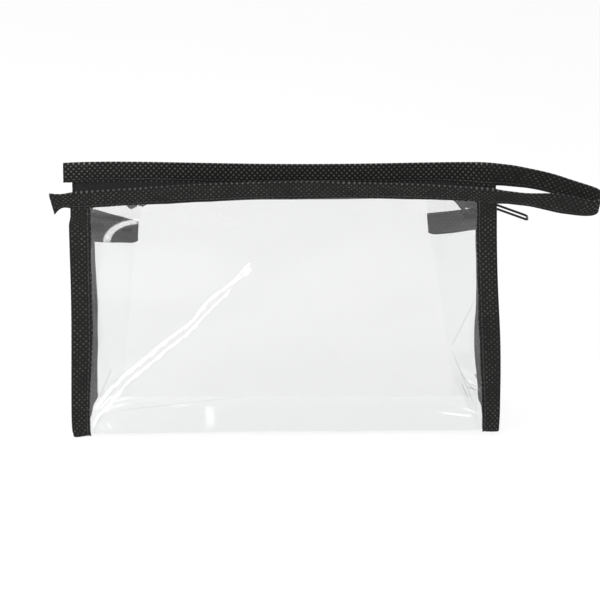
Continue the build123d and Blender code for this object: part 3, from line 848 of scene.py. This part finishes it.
def gusset_edge(side):
    """The binding folded over the top edge of a gusset."""
    q = np.concatenate([np.linspace(-0.985, -0.02, 17), np.linspace(0.02, 0.985, 17)])
    fold = gusset_section(side, q, gusset_top(side, q))
    fold[:, 2] += 0.5
    for _ in range(2):
        fold[1:-1] = (fold[:-2] + 2 * fold[1:-1] + fold[2:]) / 4
    raw = fold - np.array((0, 0, 1)) * (binding_width + 1.2 - 1.5 * hump(q, 0.09))[:, None]
    raw[:, 0] += side * 0.6
    if side > 0:
        fold, raw = fold[::-1], raw[::-1]
    return Strip(fold, raw, 80 + side, 0.45)


# ---- zipper ----
def rise(x):
    """How far the chain stands above the level at which the slider parks."""
    return chain_rise * smooth(-88, -74, x) * smooth(103.5, 95, x)


def zipper_tape(wall):
    """A woven tape from inside the mouth binding to the coil."""
    chain_left, chain_right = chain_runs[wall]
    if wall == "rear":
        sign, mouth, lean, past_chain, least = 1, rear_mouth, 0.0, 6.0, 0.75
    else:
        sign, mouth, lean, past_chain, least = -1, front_mouth, tape_splay, 0.0, 0.2
    up = np.array((sign * sin(lean), cos(lean)))
    inner = np.array(mouth) + np.array((-sign * cos(lean), -sin(lean)))
    corners = [inner + up * 5.0, inner - up * 0.5, (sign * 4.8, coil_z - 0.2), (sign * 2.05, coil_z - 0.2)]
    path = rounded_path(corners, (0.5, 1.2), tape_step)
    right = chain_right + past_chain
    xs = np.linspace(tape_left, right, int((right - tape_left) / 1.6))
    # beyond the chain's left end the tape narrows, back towards its binding
    share = least + (1 - least) * smooth(chain_left - 3, chain_left + 1, xs)
    lengths = np.linspace(0, 1, len(path))
    y, z = (np.interp(np.outer(lengths, share), lengths, path[:, k]) for k in (0, 1))
    level = smooth(10.5, 5.0, np.abs(y))
    z = z + rise(xs)[None, :] * level + 0.14 * unevenness(xs, 0 * xs, 30, 90 + sign)[None, :] * level
    # the loose end hangs where the stitching stops
    z = z - 0.8 * smooth(90, 103, xs)[None, :] * smooth(1, 4, np.abs(y)) * smooth(10, 7, np.abs(y))
    surface = lean_front(np.stack([np.broadcast_to(xs, z.shape), y, z], -1))
    surface = surface[::-sign]
    run = np.broadcast_to(np.arange(len(path))[:, None] * tape_step, z.shape)
    marks = np.stack([surface[..., 0], run, 0 * run], -1)
    return thick_sheet(f"tape_{wall}", settle(surface), cloth, tape_cloth, marks)


def zipper_coil(wall):
    """A row of coil: one nylon wire wound in flattened turns."""
    (left, right), sign = chain_runs[wall], 1 if wall == "rear" else -1
    turns = int((right - left - 1) / coil_pitch)
    t = np.arange(turns * coil_points) / coil_points
    start = left + 0.5 + (coil_pitch / 2 if sign > 0 else 0)
    angle = t * 2 * pi
    x = start + coil_pitch * (t + 0.16 * np.sin(angle))
    y = sign * (1.02 - 0.92 * np.cos(angle))
    z = coil_z + rise(x) + 0.62 * np.sin(angle)
    line = np.stack([x, y, z], -1)
    wire = Capsules()
    up = np.tile(np.array((1.0, 0.0, 0.0)), (len(line), 1))
    wire.add(line, up, 0.25 + 0.05 * np.clip(np.cos(angle), 0, 1))
    return wire.build(f"coil_{wall}", nylon, "zipper_coil", soft=False)


sheet = body_sheet()
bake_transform(sheet)

for side, side_name in ((-1, "left"), (1, "right")):
    piece = gusset(side, f"gusset_{side_name}")
    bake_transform(piece)

    strip = side_strip(side)
    piece = strip.build(f"side_strip_{side_name}", binding, "binding")
    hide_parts(*(f"side_binding_{side_name}_{wall}" for wall in ("front", "bottom", "rear")))
    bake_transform(piece)
    rows = strip.stitches(f"side_threads_{side_name}", thread, "thread")
    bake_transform(rows)
    if side > 0:
        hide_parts("stitching_front", "stitching_rear", "stitching_bottom")

    strip = gusset_edge(side)
    piece = strip.build(f"gusset_edge_{side_name}", binding, "binding")
    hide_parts(*(f"gusset_binding_{side_name}_{wall}" for wall in ("front", "rear")))
    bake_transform(piece)

# the clear sheet leaves the floor as bright as it was, and the side bindings leave no dark edge on it
for name in ("body_sheet", "gusset_left", "gusset_right"):
    bpy.data.objects[name].visible_shadow = False
for name in ("side_strip_left", "side_strip_right", "side_threads_left", "side_threads_right"):
    bpy.data.objects[name].visible_diffuse = False

strip = mouth_strip()
mouth = strip.build("mouth_strip", mouth_binding, "binding")
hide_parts("top_binding_front", "top_binding_rear", "wrist_loop")
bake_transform(mouth)
rows = strip.stitches("mouth_threads", thread, "thread")
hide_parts("stitching_loop")
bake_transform(rows)

for wall, body in (("rear", "bag"), ("front", "front_wall")):
    tape = zipper_tape(wall)
    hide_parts(f"zipper_tape_{wall}")
    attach(tape, body)
    coil = zipper_coil(wall)
    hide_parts(f"zipper_coil_{wall}")
    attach(coil, body)

for name in ("slider_body", "slider_bridge", "pull_wire_frame"):
    mesh = frame["nodes"][name].data
    mesh.materials.clear()
    mesh.materials.append(metal)


# ---- floor, light and camera ----
def studio():
    """White floor and sky, with one soft box that the film mirrors."""
    mesh = bpy.data.meshes.new("floor")
    size, level = 12.0, -0.0004   # the floor is just below the base, in metres
    mesh.from_pydata([(-size, -size, level), (size, -size, level), (size, size, level), (-size, size, level)],
                     [], [(0, 1, 2, 3)])
    mesh.materials.append(floor_paper())
    floor = bpy.data.objects.new("floor", mesh)
    bpy.context.scene.collection.objects.link(floor)
    world = bpy.data.worlds.new("studio")
    world.use_nodes = True
    background = world.node_tree.nodes["Background"]
    background.inputs["Color"].default_value = (1, 1, 1, 1)
    background.inputs["Strength"].default_value = 0.97
    bpy.context.scene.world = world
    aim = Vector((0, 0, 0.07))
    way, distance = Vector((-0.60, -0.70, 0.45)).normalized(), 1.6
    light = bpy.data.lights.new("key", "AREA")
    light.size, light.energy = 0.70, 11.0
    light.use_shadow = False
    lamp = bpy.data.objects.new("key", light)
    lamp.location = aim + way * distance
    lamp.rotation_euler = way.to_track_quat("Z", "Y").to_euler()
    bpy.context.scene.collection.objects.link(lamp)


def camera():
    """The photograph's view."""
    azimuth, elevation, roll = radians(1.047), radians(21.449), radians(-0.502)
    distance, target = 2.211, Vector((0.007724, 0, 0.07105))
    focal_share = 6.5077   # focal length over image width
    right = Vector((cos(azimuth), sin(azimuth), 0))
    back = Vector((sin(azimuth) * cos(elevation), -cos(azimuth) * cos(elevation), sin(elevation)))
    up = back.cross(right)
    turned = right * cos(roll) + up * sin(roll)
    up = up * cos(roll) - right * sin(roll)
    lens = bpy.data.cameras.new("camera")
    lens.sensor_width = 36.0
    lens.lens = lens.sensor_width * focal_share
    lens.clip_end = 50.0
    holder = bpy.data.objects.new("camera", lens)
    axes = Matrix((turned, up, back)).transposed().to_4x4()
    holder.matrix_world = Matrix.Translation(target + back * distance) @ axes
    bpy.context.scene.collection.objects.link(holder)
    bpy.context.scene.camera = holder


studio()
camera()
bpy.context.scene.view_settings.view_transform = "Standard"
bpy.context.scene.cycles.transparent_max_bounces = 32
